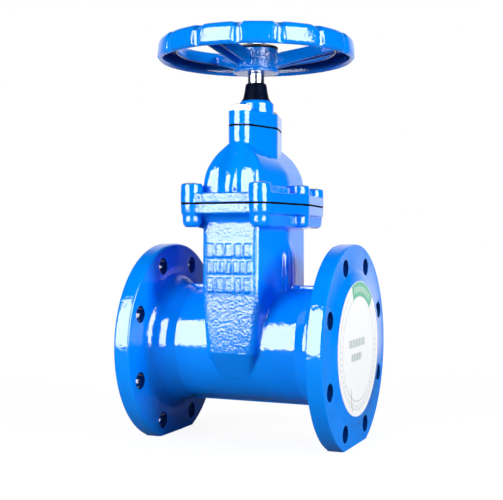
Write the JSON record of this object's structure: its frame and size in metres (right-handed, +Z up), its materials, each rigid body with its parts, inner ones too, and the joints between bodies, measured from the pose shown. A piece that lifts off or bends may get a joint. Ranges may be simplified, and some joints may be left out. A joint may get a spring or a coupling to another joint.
{
  "type": "non-rising stem gate valve",
  "caption": "Flanged gate valve with a cast body and bonnet, a rubber-faced wedge inside, and a handwheel that turns a non-rising stem.",
  "frame": {"origin": "on the floor, midway between the two flange feet and under the stem", "axes": "+Z up along the stem, X along the pipe with the labelled port at +X, Y across the pipe"},
  "size_m": [0.2304, 0.215, 0.4267],
  "materials": {
    "blue_epoxy": "gloss",
    "zinc_plate": "satin",
    "stem_steel": "satin",
    "black_rubber": "matte",
    "gasket_rubber": "matte",
    "dark_steel": "satin",
    "label_film": "matte",
    "rubber_faced_iron": "matte",
    "nut_brass": "satin"
  },
  "bodies": {
    "housing": {"valve_body": "blue_epoxy", "bonnet": "blue_epoxy", "bonnet_gasket": "gasket_rubber", "gland_cover": "blue_epoxy", "gland_gasket": "gasket_rubber", "dust_cap": "black_rubber", "gland_bolt_front": "zinc_plate", "gland_bolt_back": "zinc_plate", "bonnet_screw_1": "zinc_plate", "bonnet_screw_2": "zinc_plate", "bonnet_screw_3": "zinc_plate", "bonnet_screw_4": "zinc_plate", "bonnet_screw_5": "zinc_plate", "bonnet_screw_6": "zinc_plate", "port_label": "label_film", "wedge": "rubber_faced_iron", "wedge_nut": "nut_brass"},
    "handwheel": {"stem": "stem_steel", "handwheel": "blue_epoxy", "wheel_washer": "dark_steel", "wheel_nut": "dark_steel"}
  },
  "joints": [
    {"name": "handwheel_turn", "type": "hinge", "parent": "housing", "child": "handwheel", "pos_m": [0, 0, 0.33], "axis": [0, 0, 1], "range_deg": [0, 7560]}
  ]
}
